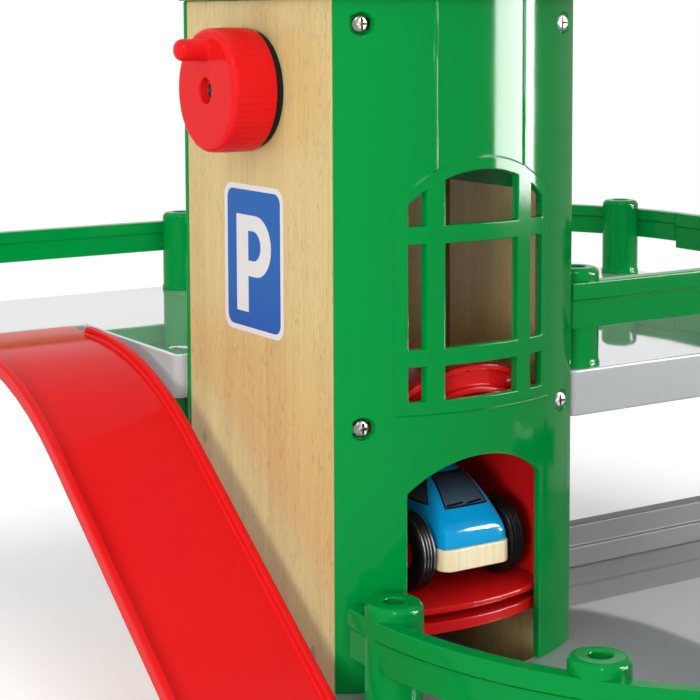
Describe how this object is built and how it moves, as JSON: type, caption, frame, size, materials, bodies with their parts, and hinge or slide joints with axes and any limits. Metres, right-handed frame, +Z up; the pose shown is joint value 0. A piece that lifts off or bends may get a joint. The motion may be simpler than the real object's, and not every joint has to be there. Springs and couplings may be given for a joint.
{
  "type": "toy parking garage",
  "caption": "Two-level toy parking garage with a beech tower, a crank-driven lift holding a toy car, guard rails and a ramp.",
  "frame": {"origin": "middle of the underside of the tower's floor plate, where it rests on the table", "axes": "+Z up, -Y out of the tower's bowed front, +X from the crank side to the apron side"},
  "size_m": [0.4215, 0.485, 0.2874],
  "materials": {
    "green_plastic": "gloss",
    "grey_plastic": "gloss",
    "red_plastic": "gloss",
    "beech": "clear varnish",
    "pale_beech": "sanded",
    "steel": "zinc plated",
    "black_plastic": "satin",
    "tyre_rubber": "satin",
    "blue_lacquer": "gloss lacquer",
    "cord": "braided"
  },
  "bodies": {
    "garage": {"lower_deck": "grey_plastic", "rear_curb": "grey_plastic", "upper_deck": "grey_plastic", "tower_floor": "grey_plastic", "deck_column_1": "green_plastic", "deck_column_2": "green_plastic", "deck_column_3": "green_plastic", "deck_column_4": "green_plastic", "lower_rail_left": "green_plastic", "lower_rail_right": "green_plastic", "upper_rail_front": "green_plastic", "upper_rail_corner": "green_plastic", "upper_rail_side": "green_plastic", "upper_rail_bend": "green_plastic", "upper_rail_back": "green_plastic", "upper_rail_left": "green_plastic", "lower_post_1": "green_plastic", "lower_post_2": "green_plastic", "lower_post_3": "green_plastic", "lower_post_4": "green_plastic", "lower_post_5": "green_plastic", "upper_post_1": "green_plastic", "upper_post_2": "green_plastic", "upper_post_3": "green_plastic", "upper_post_4": "green_plastic", "upper_post_5": "green_plastic", "upper_post_6": "green_plastic", "upper_post_7": "green_plastic", "upper_post_8": "green_plastic", "ramp": "red_plastic", "left_panel": "beech", "right_panel": "beech", "front_plate": "green_plastic", "back_plate": "green_plastic", "roof": "green_plastic", "front_screw_1": "steel", "front_screw_2": "steel", "front_screw_3": "steel", "front_screw_4": "steel", "left_bush": "black_plastic", "right_bush": "black_plastic", "bearing_block": "green_plastic"},
    "lift": {"lift_cabin": "red_plastic", "guide_shoe_left": "black_plastic", "guide_shoe_right": "black_plastic", "cord_eyelet": "steel", "lift_cord": "cord", "car_chassis": "pale_beech", "car_body": "blue_lacquer"},
    "crank": {"crank_knob": "red_plastic", "knob_screw": "steel", "drive_shaft": "steel", "cord_spool": "black_plastic", "cord_winding": "cord"},
    "car_front_wheels": {"car_front_axle": "steel", "car_front_left_wheel": "tyre_rubber", "car_front_right_wheel": "tyre_rubber"},
    "car_rear_wheels": {"car_rear_axle": "steel", "car_rear_left_wheel": "tyre_rubber", "car_rear_right_wheel": "tyre_rubber"}
  },
  "joints": [
    {"name": "lift_slide", "type": "slide", "parent": "garage", "child": "lift", "axis": [0, 0, 1], "range_m": [-0.028, 0.0794], "deforming": ["lift_cord"]},
    {"name": "crank_turn", "type": "hinge", "parent": "garage", "child": "crank", "pos_m": [0, 0, 0.2374], "axis": [1, 0, 0], "range_deg": [-161, 456]},
    {"name": "front_wheels_roll", "type": "hinge", "parent": "lift", "child": "car_front_wheels", "pos_m": [0.0079, -0.0425, 0.0617], "axis": [1, 0, 0], "continuous": true},
    {"name": "rear_wheels_roll", "type": "hinge", "parent": "lift", "child": "car_rear_wheels", "pos_m": [0.0079, -0.0045, 0.0617], "axis": [1, 0, 0], "continuous": true}
  ],
  "couplings": [
    {"joint": "crank_turn", "follows": "lift_slide", "rad_per_m": 100}
  ]
}
